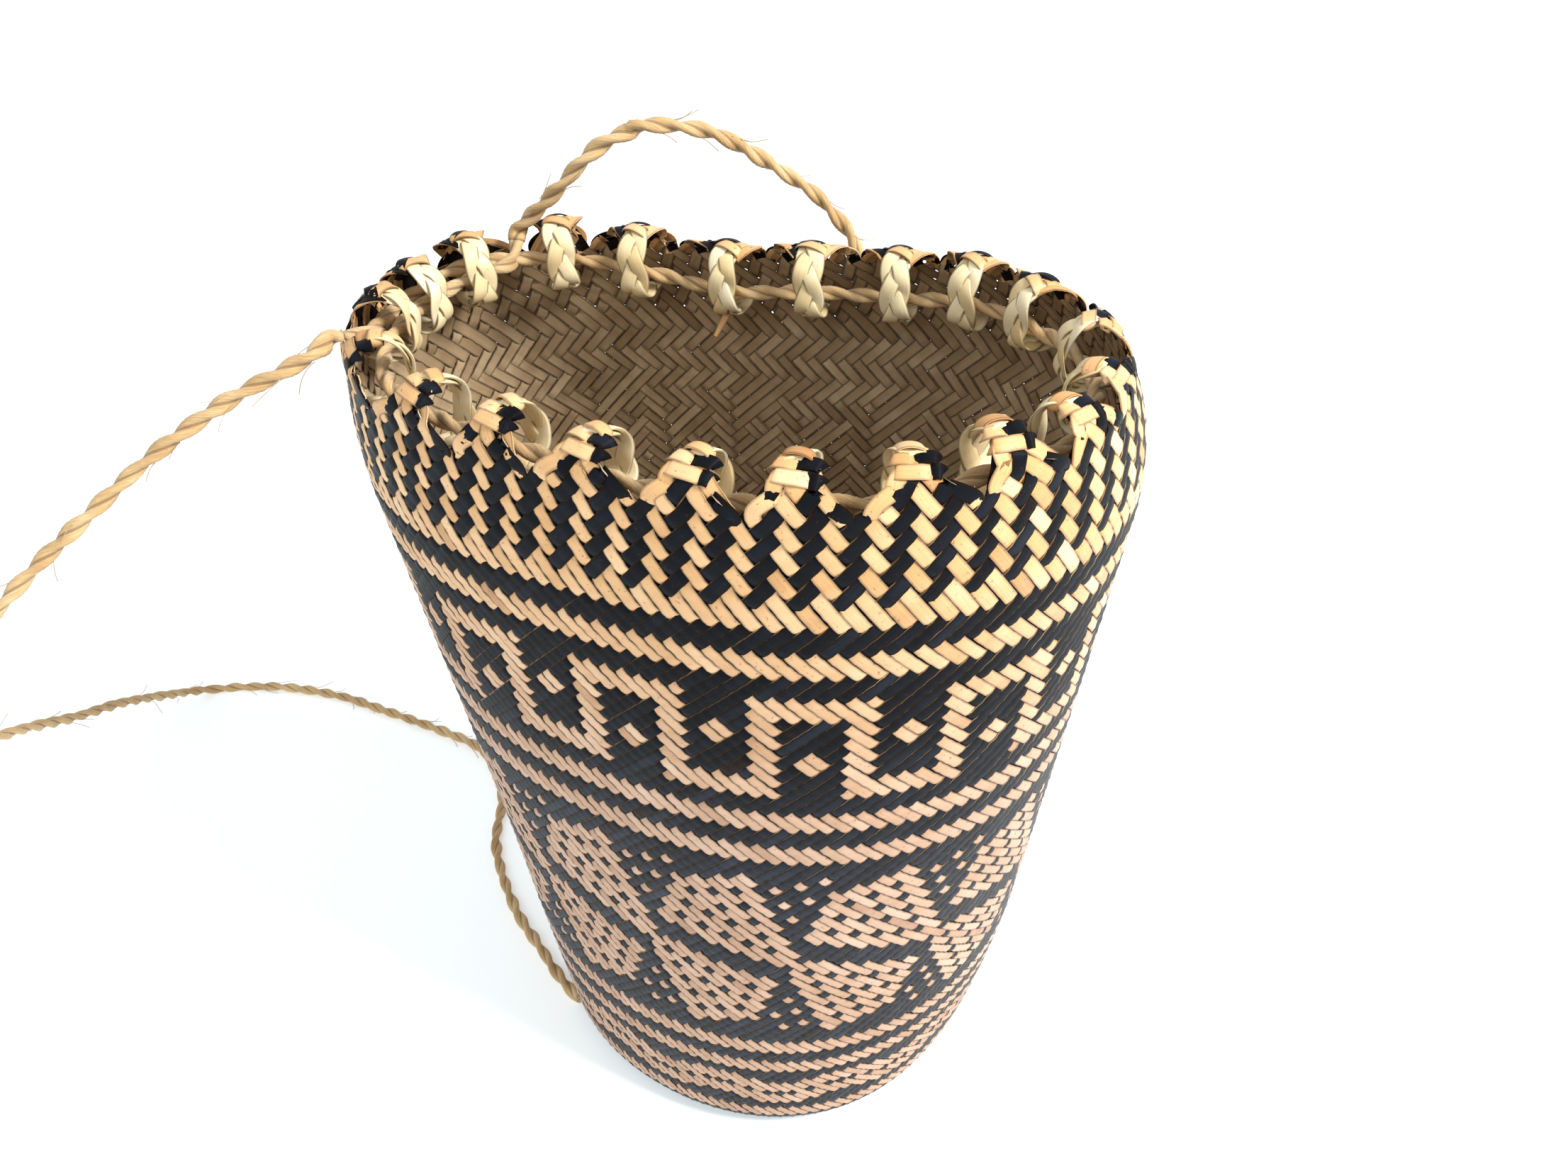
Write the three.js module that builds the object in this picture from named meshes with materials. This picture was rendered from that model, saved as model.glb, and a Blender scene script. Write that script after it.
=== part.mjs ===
import * as THREE from 'three';

// A pack basket: a bias-plaited body with a round foot and an oval mouth, a rim
// of 21 teeth that curl inward into braided eyelets, and one cord threaded
// through the eyelets, whose two ends hang down as shoulder straps.
// Millimetres, +Z up, the front faces -Y, the origin is on the floor under the foot.

// Driving sizes
const bodyHeight = 339.9;
const footRadius = 102.5;
const mouthRadius = 113.4;
const wallThickness = 2.2;
const footEdgeRadius = 12.4;
const columnCount = 120;
const firstToothColumn = 88.8;
const toothBend = 10;
const toothNeckWidth = 13;
const toothTaperRun = 12;
const eyeletWidth = 10;
const eyeletThickness = 4;
const eyeletDrop = 5;
const backEyeletDrop = 8;
const eyeletTurn = 7;
const cordDiameter = 6;
const cordReach = 12;
const cordHang = 6;
const cordFollow = 1.3;
const seam = 0.3;

// The sections at the foot and at the mouth are circles drawn out in one to four
// directions, each by an amount in millimetres and toward an angle in degrees
// from +X. The belly's share is added at half height. The shoulder's share grows
// with height and goes back to nothing at the rim.
const footDraw = [[2, 9.6, 25.9], [3, 5.5, 44.4]];
const mouthDraw = [[2, 24.1, -22.6], [3, 5, 25.3], [4, 0.6, 43.6]];
const bellyDraw = [[1, 7.8, 132.9], [2, 10.6, -47.4], [3, 3.7, -3.7]];
const shoulderDraw = [[1, 8.7, 54.1], [2, 4.1, 25.4], [3, 1, 25.3]];
const bellySwell = -0.4;
const shoulderSwell = 9;
const shoulderHeight = 50;
const footTuck = 5.2;
const footTuckHeight = 90;
const footShiftX = -2.1;
const footShiftY = 2.7;
const mouthShiftX = -7;
const mouthShiftY = -8.5;

// How many strip crossings each tooth gathers, counterclockwise from the front
const toothColumns = [5, 6, 5, 5, 6, 7, 6, 5, 5, 6, 6, 6, 4, 6, 5, 6, 8, 7, 5, 6, 5];

// How far each tooth goes straight up before it curls, in millimetres. One below
// zero starts its curl already leaning in at the rim.
const toothRises = [4, 3, 5, 1, -1, -1.5, -3, -2, -3.5, -2.5, -4, 0.5, 5, 5.5, 4, 3.5, 4.5, 5.5, 5.5, 3.5, 3];

// How many columns each tooth's neck leans counterclockwise from its middle
const toothLeans = [0, 0, -0.7, -0.3, -0.5, -0.6, -0.2, -0.6, -0.3, -0.2, -1.2, -0.8, -0.2, 1.7, 1.1, 0, 0.5, 0.7, 0.3, 0, 0];

// Mesh fineness
const outlineSteps = 72;
const cordSides = 8;
const cordStep = 14;

const degree = Math.PI / 180;
const up = new THREE.Vector3(0, 0, 1);

const weaveMaterial = () => new THREE.MeshStandardMaterial({ color: 0x8c6c48, roughness: 0.55, metalness: 0 });
const floorMaterial = () => new THREE.MeshStandardMaterial({ color: 0xa0876e, roughness: 0.6, metalness: 0 });
const braidMaterial = () => new THREE.MeshStandardMaterial({ color: 0xebd7a5, roughness: 0.5, metalness: 0 });
const cordMaterial = () => new THREE.MeshStandardMaterial({ color: 0xc8a069, roughness: 0.85, metalness: 0 });

const basket = new THREE.Group();

function addMesh(name, geometry, material) {
  const mesh = new THREE.Mesh(geometry, material);
  mesh.name = name;
  basket.add(mesh);
}

// How far a section is drawn out from its circle at one angle
function drawnOut(draws, angle) {
  let sum = 0;
  for (const [lobes, amount, toward] of draws) {
    sum += amount * Math.cos(lobes * (angle - toward * degree));
  }
  return sum;
}

// A point of the body's outer face, moved inward by a given distance
function bodyPoint(angle, height, inset) {
  const share = height / bodyHeight;
  const foot = footRadius + drawnOut(footDraw, angle);
  const mouth = mouthRadius + drawnOut(mouthDraw, angle);
  const belly = 4 * share * (1 - share) * (bellySwell + drawnOut(bellyDraw, angle));
  const closing = Math.max(1 - (bodyHeight - height) / shoulderHeight, 0);
  const shoulder = (share - closing * closing) * (shoulderSwell + drawnOut(shoulderDraw, angle));
  const tuck = footTuck * Math.max(1 - height / footTuckHeight, 0) ** 2;
  const radius = foot * (1 - share) + mouth * share + belly + shoulder - tuck - inset;
  return new THREE.Vector3(
    radius * Math.cos(angle) + footShiftX * (1 - share) + mouthShiftX * share,
    radius * Math.sin(angle) + footShiftY * (1 - share) + mouthShiftY * share,
    height
  );
}

// The outline at one height, with the length run from its first point
function measuredOutline(height) {
  const steps = 720;
  const points = [];
  const run = [0];
  for (let i = 0; i <= steps; i++) {
    points.push(bodyPoint((2 * Math.PI * i) / steps, height, 0));
    if (i > 0) {
      run.push(run[i - 1] + points[i].distanceTo(points[i - 1]));
    }
  }
  return { points, run, length: run[steps] };
}

// The place on an outline at a strip column: its point, the way along and the way in
function columnFrame(outline, column) {
  const turns = column / columnCount;
  const target = (turns - Math.floor(turns)) * outline.length;
  let i = 1;
  while (outline.run[i] < target) {
    i++;
  }
  const part = (target - outline.run[i - 1]) / (outline.run[i] - outline.run[i - 1]);
  const point = outline.points[i - 1].clone().lerp(outline.points[i], part);
  const along = outline.points[i].clone().sub(outline.points[i - 1]).normalize();
  const inward = up.clone().cross(along);
  return { point, along, inward };
}

// A closed body through rings of points. Each ring holds a front row of points
// and a back row in the opposite order, and the end rings are closed between the
// two rows. When joined, the last ring meets the first and there are no ends.
function loft(rings, joined) {
  const count = rings[0].length;
  const positions = [];
  for (const ring of rings) {
    for (const p of ring) {
      positions.push(p.x, p.y, p.z);
    }
  }
  const faces = [];
  const strips = joined ? rings.length : rings.length - 1;
  for (let k = 0; k < strips; k++) {
    const a = k * count;
    const b = ((k + 1) % rings.length) * count;
    for (let i = 0; i < count; i++) {
      const j = (i + 1) % count;
      faces.push(a + i, a + j, b + j, a + i, b + j, b + i);
    }
  }
  if (!joined) {
    const last = (rings.length - 1) * count;
    for (let i = 0; i < count / 2 - 1; i++) {
      const j = count - 1 - i;
      faces.push(i, j, j - 1, i, j - 1, i + 1);
      faces.push(last + i, last + j - 1, last + j, last + i, last + i + 1, last + j - 1);
    }
  }
  const geometry = new THREE.BufferGeometry();
  geometry.setAttribute('position', new THREE.Float32BufferAttribute(positions, 3));
  geometry.setIndex(faces);
  geometry.computeVertexNormals();
  return geometry;
}

// The wall: a quarter-round foot edge, then up over the shoulder to the rim's valleys
function makeWall() {
  const edgeSteps = 4;
  const bodyLevels = 6;
  const shoulderLevels = 4;
  const shoulderFoot = bodyHeight - shoulderHeight;
  const outer = [];
  const inner = [];
  const innerRadius = footEdgeRadius - wallThickness;
  for (let i = 0; i <= edgeSteps; i++) {
    const turn = (Math.PI / 2) * (i / edgeSteps);
    const lift = 1 - Math.cos(turn);
    const draw = 1 - Math.sin(turn);
    outer.push([footEdgeRadius * lift, footEdgeRadius * draw]);
    inner.push([wallThickness + innerRadius * lift, wallThickness + innerRadius * draw]);
  }
  const heights = [];
  for (let i = 1; i <= bodyLevels; i++) {
    heights.push(footEdgeRadius + (shoulderFoot - footEdgeRadius) * (i / bodyLevels));
  }
  for (let i = 1; i <= shoulderLevels; i++) {
    heights.push(shoulderFoot + shoulderHeight * (i / shoulderLevels));
  }
  for (const height of heights) {
    outer.push([height, 0]);
    inner.push([height, wallThickness]);
  }
  const profile = outer.concat(inner.reverse());
  const rings = [];
  for (let k = 0; k < outlineSteps; k++) {
    const angle = (2 * Math.PI * k) / outlineSteps;
    rings.push(profile.map(([height, inset]) => bodyPoint(angle, height, inset)));
  }
  return loft(rings.reverse(), true);
}

// The floor: a flat plate inside the foot edge
function makeFloor() {
  const outline = [];
  for (let k = 0; k < outlineSteps; k++) {
    const point = bodyPoint((2 * Math.PI * k) / outlineSteps, 0, footEdgeRadius + seam);
    outline.push(new THREE.Vector2(point.x, point.y));
  }
  return new THREE.ExtrudeGeometry(new THREE.Shape(outline), { depth: wallThickness, bevelEnabled: false });
}

// A value that goes from one at the front of the rim to another at its back
function frontToBack(column, front, back) {
  const share = (1 + Math.sin((2 * Math.PI * column) / columnCount)) / 2;
  return front + (back - front) * share;
}

// The angle at which a curl leaves the rim: upright, or leaning in where its rise is below zero
function startTurn(rise) {
  return Math.asin(Math.max(-rise, 0) / toothBend);
}

// The path that a tooth and its eyelet follow, in a plane across the rim: inward
// distance and height from the middle of the wall's top, and the angle turned
function curlAt(run, rise) {
  if (run < rise) {
    return { inward: 0, height: run, turn: 0 };
  }
  const firstTurn = startTurn(rise);
  const turn = firstTurn + (run - Math.max(rise, 0)) / toothBend;
  const inward = toothBend * (Math.cos(firstTurn) - Math.cos(turn));
  return { inward, height: rise + toothBend * Math.sin(turn), turn };
}

// The run at which a curl has turned by an angle
function runAtTurn(turn, rise) {
  return Math.max(rise, 0) + toothBend * (turn - startTurn(rise));
}

const rim = measuredOutline(bodyHeight);
const columnPitch = rim.length / columnCount;
const neckTurn = 85 * degree;

// One tooth: as wide as its columns at the wall, narrowing to the neck as it curls
function makeTooth(middle, columns, rise, lean) {
  const rows = 7;
  const across = 4;
  const halfFoot = (columns * columnPitch - seam) / 2;
  const halfNeck = toothNeckWidth / 2;
  const neckRun = runAtTurn(neckTurn, rise);
  const clearance = seam + (wallThickness / 2) * Math.sin(startTurn(rise));
  const rings = [];
  for (let k = 0; k <= rows; k++) {
    const run = neckRun * (k / rows);
    const { inward, height, turn } = curlAt(run, rise);
    const taper = Math.min(run / toothTaperRun, 1);
    const half = halfFoot + (halfNeck - halfFoot) * taper;
    const front = [];
    const back = [];
    for (let i = 0; i < across; i++) {
      const side = half * ((2 * i) / (across - 1) - 1);
      const frame = columnFrame(rim, middle + lean * taper + side / columnPitch);
      for (const [row, sign] of [[front, 1], [back, -1]]) {
        const offset = (sign * wallThickness) / 2;
        const reach = wallThickness / 2 + inward - offset * Math.cos(turn);
        const level = height + clearance + offset * Math.sin(turn);
        row.push(frame.point.clone().addScaledVector(frame.inward, reach).addScaledVector(up, level));
      }
    }
    rings.push(front.concat(back.reverse()));
  }
  return loft(rings, false);
}

// One eyelet: a flat braid on from the neck, over, down inside the mouth and back
// out to the wall, leaving a hole that the cord runs through
function makeEyelet(middle, rise) {
  const frame = columnFrame(rim, middle);
  const clearance = seam + (wallThickness / 2) * Math.sin(startTurn(rise));
  const firstRun = runAtTurn(neckTurn, rise) + seam;
  const innermost = toothBend * (1 + Math.cos(startTurn(rise)));
  const path = [];
  const overSteps = 5;
  for (let i = 0; i <= overSteps; i++) {
    const run = firstRun + (runAtTurn(Math.PI, rise) - firstRun) * (i / overSteps);
    const { inward, height, turn } = curlAt(run, rise);
    path.push([inward, height, turn]);
  }
  const lowest = rise - frontToBack(middle, eyeletDrop, backEyeletDrop);
  const turnSteps = 4;
  for (let i = 0; i <= turnSteps; i++) {
    const turn = (Math.PI / 2) * (i / turnSteps);
    const inward = innermost - eyeletTurn * (1 - Math.cos(turn));
    path.push([inward, lowest - eyeletTurn * Math.sin(turn), Math.PI + turn]);
  }
  const eyeletFoot = lowest - eyeletTurn;
  const leans = [-1, 1].map((side) => {
    const wall = measuredOutline(bodyHeight + eyeletFoot + clearance + (side * eyeletThickness) / 2);
    return columnFrame(wall, middle).point.sub(frame.point).dot(frame.inward);
  });
  path.push([wallThickness / 2 + 2 * seam + Math.max(...leans), eyeletFoot, 1.5 * Math.PI]);
  const corner = 0.6;
  const section = [[-1, corner], [-corner, 1], [corner, 1], [1, corner]];
  const rings = [];
  for (const [inward, height, turn] of path) {
    const ring = [];
    for (const [points, sign] of [[section, 1], [section.slice().reverse(), -1]]) {
      for (const [sideShare, faceShare] of points) {
        const offset = (sign * faceShare * eyeletThickness) / 2;
        const side = (sideShare * eyeletWidth) / 2;
        const reach = wallThickness / 2 + inward - offset * Math.cos(turn);
        const level = height + clearance + offset * Math.sin(turn);
        const point = frame.point.clone();
        point.addScaledVector(frame.along, side);
        point.addScaledVector(frame.inward, reach);
        point.addScaledVector(up, level);
        ring.push(point);
      }
    }
    rings.push(ring);
  }
  return loft(rings, false);
}

// A round cord along a smooth curve through the given points
function makeCord(points) {
  const curve = new THREE.CatmullRomCurve3(points, false, 'centripetal');
  const section = new THREE.Shape();
  for (let i = 0; i < cordSides; i++) {
    const angle = (2 * Math.PI * i) / cordSides;
    const x = (cordDiameter / 2) * Math.cos(angle);
    const y = (cordDiameter / 2) * Math.sin(angle);
    if (i === 0) {
      section.moveTo(x, y);
    } else {
      section.lineTo(x, y);
    }
  }
  section.closePath();
  const steps = Math.round(curve.getLength() / cordStep);
  return new THREE.ExtrudeGeometry(section, { steps, extrudePath: curve, bevelEnabled: false });
}

// A point by the rim at a strip column, so far inward and so far above the valleys
function rimPoint(column, inward, height) {
  const frame = columnFrame(rim, column);
  return frame.point.clone().addScaledVector(frame.inward, inward).addScaledVector(up, height);
}

// A point in foot radii across and body heights up
function place(x, y, level) {
  return new THREE.Vector3(x * footRadius, y * footRadius, level * bodyHeight);
}

// A point where the cord lies on the floor, in foot radii
function onFloor(x, y) {
  return new THREE.Vector3(x * footRadius, y * footRadius, cordDiameter / 2 + seam);
}

// The first two points of a cord that goes straight on past the end of another
function straightOn(before, end) {
  const direction = end.clone().sub(before).normalize();
  const start = end.clone().addScaledVector(direction, seam);
  return [start, start.clone().addScaledVector(direction, cordDiameter)];
}

addMesh('basket_wall', makeWall(), weaveMaterial());
addMesh('basket_floor', makeFloor(), floorMaterial());

const toothStarts = [];
const eyeletColumns = [];
let column = firstToothColumn;
toothColumns.forEach((columns, index) => {
  const number = String(index + 1).padStart(2, '0');
  const middle = column + columns / 2;
  const lean = toothLeans[index];
  const rise = toothRises[index];
  addMesh(`rim_tooth_${number}`, makeTooth(middle, columns, rise, lean), weaveMaterial());
  addMesh(`rim_loop_${number}`, makeEyelet(middle + lean, rise), braidMaterial());
  toothStarts.push(column);
  eyeletColumns.push(middle + lean);
  column += columns;
});

// The rim cord starts at the back left, runs counterclockwise through all the
// eyelets and on through the first three again, beside its own beginning
const firstEyelet = 13;
const doubledEyelets = 3;
const beside = { inward: 2.5, height: 0.5 };
const above = { inward: -3.4, height: 3 };
const backValley = toothStarts[firstEyelet];
const leftValley = toothStarts[firstEyelet + doubledEyelets];

// A point of the cord in an eyelet, moved from its usual place in it
function inEyelet(index, inward, height) {
  const level = cordFollow * toothRises[index] - cordHang + height;
  return rimPoint(eyeletColumns[index], cordReach + inward, level);
}

const rimRoute = [
  rimPoint(backValley + 0.8, 9, 9),
  rimPoint(backValley + 1.5, 13, 3)
];
for (let k = 0; k < toothColumns.length; k++) {
  const index = (firstEyelet + k) % toothColumns.length;
  const aside = k < doubledEyelets ? beside : { inward: 0, height: 0 };
  rimRoute.push(inEyelet(index, aside.inward, aside.height));
}
for (let k = 0; k < doubledEyelets; k++) {
  rimRoute.push(inEyelet(firstEyelet + k, above.inward, above.height));
}
const overRim = { inward: 8, height: 5, outHeight: 6 };
rimRoute.push(rimPoint(leftValley - 0.3, overRim.inward, overRim.height));
rimRoute.push(rimPoint(leftValley + 0.1, 1, overRim.outHeight));
addMesh('rim_cord', makeCord(rimRoute), cordMaterial());

// The left strap: over the rim, out and round in the air, back along the floor
const leftStrap = [
  ...straightOn(rimRoute[rimRoute.length - 2], rimRoute[rimRoute.length - 1]),
  place(-1.44, 0.01, 1.012),
  place(-1.65, -0.04, 0.993),
  place(-1.86, -0.11, 0.964),
  place(-2.04, -0.19, 0.934),
  place(-2.22, -0.28, 0.898),
  place(-2.38, -0.36, 0.865),
  place(-2.54, -0.45, 0.828),
  place(-3.05, -0.49, 0.700),
  place(-3.45, -0.29, 0.550),
  place(-3.66, 0.10, 0.441),
  place(-3.72, 0.62, 0.366),
  place(-3.74, 1.18, 0.248),
  place(-3.73, 1.53, 0.180),
  place(-3.72, 1.90, 0.096),
  onFloor(-3.64, 2.27),
  onFloor(-3.24, 2.26),
  onFloor(-2.77, 2.12),
  onFloor(-2.48, 1.97),
  onFloor(-2.06, 1.74),
  onFloor(-1.84, 1.60),
  onFloor(-1.68, 1.39),
  onFloor(-1.61, 1.13),
  onFloor(-1.60, 0.84),
  onFloor(-1.55, 0.65),
  onFloor(-1.47, 0.45),
  onFloor(-1.39, 0.29),
  onFloor(-1.27, 0.11),
  onFloor(-1.16, -0.06),
  onFloor(-1.04, -0.21)
];
addMesh('strap_left', makeCord(leftStrap), cordMaterial());

// The back strap: up from the rim at the back left, over, down outside the back
// of the wall, and in a loose bend on the floor to the back of the foot
const backStrap = [
  ...straightOn(rimRoute[1], rimRoute[0]),
  place(-0.69, 0.77, 1.081),
  place(-0.59, 0.75, 1.114),
  place(-0.45, 0.75, 1.144),
  place(-0.35, 0.76, 1.151),
  place(-0.24, 0.78, 1.148),
  place(-0.09, 0.82, 1.134),
  place(0.06, 0.86, 1.104),
  place(0.19, 0.88, 1.074),
  place(0.28, 0.88, 1.053),
  place(0.35, 0.87, 1.029),
  place(0.42, 0.86, 0.999),
  place(0.48, 0.85, 0.912),
  place(0.50, 0.85, 0.735),
  place(0.51, 0.86, 0.471),
  place(0.49, 0.91, 0.235),
  place(0.45, 1.01, 0.088),
  onFloor(0.37, 1.33),
  onFloor(0.21, 1.70),
  onFloor(-0.08, 1.93),
  onFloor(-0.41, 1.85),
  onFloor(-0.55, 1.56),
  onFloor(-0.39, 1.27),
  onFloor(-0.10, 1.05),
  onFloor(0.12, 0.94)
];
addMesh('strap_back', makeCord(backStrap), cordMaterial());

export default basket;
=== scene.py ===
"""Pack basket plaited from flat leaf strips, with braided eyelets and a twisted cord.

Every woven piece is a set of ribbons. A ribbon is a short closed section carried
along a path on the body's surface. The body is plaited on the bias: the tan strips
run down to the right and the black ones down to the left. A place on the surface is
given by its column, from 0 to 120 around, and its row, counted down the side.
"""
import math
import bpy
import numpy as np
from mathutils import Matrix


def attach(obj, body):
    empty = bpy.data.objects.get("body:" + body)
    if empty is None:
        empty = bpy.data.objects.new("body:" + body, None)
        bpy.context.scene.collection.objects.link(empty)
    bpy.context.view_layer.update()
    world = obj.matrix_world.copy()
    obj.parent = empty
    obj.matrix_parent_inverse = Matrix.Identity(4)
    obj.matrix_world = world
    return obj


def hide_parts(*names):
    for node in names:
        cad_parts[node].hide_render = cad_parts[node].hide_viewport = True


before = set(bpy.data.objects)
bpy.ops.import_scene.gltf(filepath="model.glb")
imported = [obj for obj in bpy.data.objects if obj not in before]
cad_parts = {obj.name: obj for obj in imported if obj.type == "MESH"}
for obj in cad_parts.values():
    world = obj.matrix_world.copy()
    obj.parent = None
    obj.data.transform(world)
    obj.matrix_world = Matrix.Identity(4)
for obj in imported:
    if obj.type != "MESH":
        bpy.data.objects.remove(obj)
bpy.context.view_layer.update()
MM = 0.001
RANDOM = np.random.default_rng(7)
UP = np.array([0.0, 0.0, 1.0])

# Sizes of the body, in millimetres, as the CAD source gives them
BODY_HEIGHT = 339.9
FOOT_RADIUS = 102.5
MOUTH_RADIUS = 113.4
WALL_THICKNESS = 2.2
FOOT_EDGE_RADIUS = 12.4
FOOT_DRAW = ((2, 9.6, 25.9), (3, 5.5, 44.4))
MOUTH_DRAW = ((2, 24.1, -22.6), (3, 5.0, 25.3), (4, 0.6, 43.6))
BELLY_DRAW = ((1, 7.8, 132.9), (2, 10.6, -47.4), (3, 3.7, -3.7))
SHOULDER_DRAW = ((1, 8.7, 54.1), (2, 4.1, 25.4), (3, 1.0, 25.3))
BELLY_SWELL = -0.4
SHOULDER_SWELL = 9.0
SHOULDER_HEIGHT = 50.0
FOOT_TUCK = 5.2
FOOT_TUCK_HEIGHT = 90.0
FOOT_SHIFT = (-2.1, 2.7)
MOUTH_SHIFT = (-7.0, -8.5)

# The rim's teeth and eyelets
COLUMNS = 120
TOOTH_COLUMNS = np.array([5, 6, 5, 5, 6, 7, 6, 5, 5, 6, 6, 6, 4, 6, 5, 6, 8, 7, 5, 6, 5])
FIRST_TOOTH_COLUMN = 88.8
TOOTH_RISES = np.array([4, 3, 5, 1, -1, -1.5, -3, -2, -3.5, -2.5, -4, 0.5, 5, 5.5, 4, 3.5, 4.5, 5.5,
                        5.5, 3.5, 3])
TOOTH_LEANS = np.array([0, 0, -0.7, -0.3, -0.5, -0.6, -0.2, -0.6, -0.3, -0.2, -1.2, -0.8, -0.2, 1.7, 1.1, 0,
                        0.5, 0.7, 0.3, 0, 0])
TOOTH_BEND = 10.0
TOOTH_NECK_WIDTH = 13.0
TOOTH_TAPER_RUN = 12.0
NECK_TURN = math.radians(85)
EYELET_DROP = 5.0
BACK_EYELET_DROP = 8.0
EYELET_TURN = 7.0
CORD_DIAMETER = 6.0
CORD_REACH = 12.0
CORD_HANG = 6.0
CORD_FOLLOW = 1.3
SEAM = 0.3

# The plaiting: a strip's lift off the wall's middle, thickness, share of its lane, crown and pitch
STRIP_LIFT = 0.5
STRIP_THICKNESS = 0.4
STRIP_FILL = 0.955
STRIP_CROWN = 0.3
STRIP_PITCH = 4.4


# Camera at the photograph's angle: angles in radians, the place in metres
CAMERA_PLACE = (0.00711, -0.38425, 0.52476)
CAMERA_PITCH = 0.6485
CAMERA_ROLL = -0.063
FOCAL_PIXELS = 1723.36
PICTURE_PIXELS = 2212
SENSOR_WIDTH = 36.0


def add_object(name, data):
    """A new object in the scene."""
    thing = bpy.data.objects.new(name, data)
    bpy.context.collection.objects.link(thing)
    return thing


def set_in_place(thing, right, upward, backward, position):
    """Lays an object's own axes along three directions, and puts it at a position."""
    thing.matrix_world = Matrix([*zip(right, upward, backward, position), (0, 0, 0, 1)])


def make_camera():
    """The lens tipped down by the pitch and turned about its own line of sight by the roll."""
    data = bpy.data.cameras.new("photo_camera")
    data.sensor_width = SENSOR_WIDTH
    data.lens = SENSOR_WIDTH * (FOCAL_PIXELS / PICTURE_PIXELS)
    data.clip_start = 0.01
    data.clip_end = 50.0
    camera = add_object("photo_camera", data)
    backward = np.array([0.0, -math.cos(CAMERA_PITCH), math.sin(CAMERA_PITCH)])
    level_up = np.array([0.0, math.sin(CAMERA_PITCH), math.cos(CAMERA_PITCH)])
    level_right = np.array([1.0, 0.0, 0.0])
    right = math.cos(CAMERA_ROLL) * level_right + math.sin(CAMERA_ROLL) * level_up
    upward = -math.sin(CAMERA_ROLL) * level_right + math.cos(CAMERA_ROLL) * level_up
    set_in_place(camera, right, upward, backward, CAMERA_PLACE)
    bpy.context.scene.camera = camera


make_camera()


def drawn_out(draws, angle):
    """Sum of cosine waves: each amount times the cosine of lobes times the angle from its direction."""
    return sum(amount * np.cos(lobes * (angle - math.radians(toward))) for lobes, amount, toward in draws)


def body_point(angle, height, inset):
    """Point of the body's face at angles and heights, moved in by an inset.

    The radius goes from the foot's to the mouth's with the height. The belly and the
    shoulder are added to it, and the tuck above the foot is taken off.
    """
    share = height / BODY_HEIGHT
    foot = FOOT_RADIUS + drawn_out(FOOT_DRAW, angle)
    mouth = MOUTH_RADIUS + drawn_out(MOUTH_DRAW, angle)
    belly = 4 * share * (1 - share) * (BELLY_SWELL + drawn_out(BELLY_DRAW, angle))
    closing = np.maximum(1 - (BODY_HEIGHT - height) / SHOULDER_HEIGHT, 0)
    shoulder = (share - closing ** 2) * (SHOULDER_SWELL + drawn_out(SHOULDER_DRAW, angle))
    tuck = FOOT_TUCK * np.maximum(1 - height / FOOT_TUCK_HEIGHT, 0) ** 2
    radius = foot * (1 - share) + mouth * share + belly + shoulder - tuck - inset
    x = radius * np.cos(angle) + FOOT_SHIFT[0] * (1 - share) + MOUTH_SHIFT[0] * share
    y = radius * np.sin(angle) + FOOT_SHIFT[1] * (1 - share) + MOUTH_SHIFT[1] * share
    return np.stack([x, y, height * np.ones_like(x)], -1)


def unit(vectors):
    """Each vector divided by its length."""
    return vectors / np.maximum(np.linalg.norm(vectors, axis=-1, keepdims=True), 1e-9)


def length_along(line):
    """Length along a line from its first point to each of its points."""
    return np.concatenate([[0], np.cumsum(np.linalg.norm(np.diff(line, axis=0), axis=1))])


def even_steps(line, steps):
    """A line read again at equal steps along it, and the length at each step."""
    length = length_along(line)
    at = np.linspace(0, length[-1], steps)
    return np.stack([np.interp(at, length, values) for values in line.T], -1), at


EDGE_RUN = FOOT_EDGE_RADIUS * math.pi / 2
RIM_RUN = EDGE_RUN + BODY_HEIGHT - FOOT_EDGE_RADIUS
LEAST_RUN = -9.0
LEVELS = 180
AROUND = 960
FINE_ANGLES = 1441


def make_surface():
    """The outer face on a grid of runs up the side and equal shares of each section's own length.

    Below run 0 the face goes on flat under the foot. The run goes round the
    quarter circle of the foot's edge and then straight up with the height.
    """
    run = np.linspace(LEAST_RUN, RIM_RUN, LEVELS)
    turn = np.clip(run / FOOT_EDGE_RADIUS, 0, math.pi / 2)
    height = FOOT_EDGE_RADIUS * (1 - np.cos(turn)) + np.maximum(run - EDGE_RUN, 0)
    inset = FOOT_EDGE_RADIUS * (1 - np.sin(turn)) + np.maximum(-run, 0)
    angle = np.linspace(0, 2 * math.pi, FINE_ANGLES)
    grid = np.empty((LEVELS, AROUND, 3))
    shares = np.arange(AROUND) / AROUND
    for level in range(LEVELS):
        ring = body_point(angle, np.full_like(angle, height[level]), inset[level])
        length = length_along(ring)
        at = np.interp(shares * length[-1], length, angle)
        grid[level] = body_point(at, np.full_like(at, height[level]), inset[level])
    along = np.roll(grid, -1, 1) - np.roll(grid, 1, 1)
    upward = np.gradient(grid, axis=0)
    return run, grid, unit(np.cross(along, upward))


SURFACE_RUN, SURFACE, SURFACE_NORMAL = make_surface()


def section_length(level):
    """Length once round the surface at a level of its grid."""
    return np.linalg.norm(SURFACE[level] - np.roll(SURFACE[level], 1, 0), axis=1).sum()


def at_level(table, level, column):
    """A table's values at a level of the grid and at columns, straight between its lines."""
    across = np.mod(column / COLUMNS, 1.0) * AROUND
    before = np.floor(across).astype(int) % AROUND
    share = (across - np.floor(across))[..., None]
    return table[level, before] * (1 - share) + table[level, (before + 1) % AROUND] * share


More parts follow.
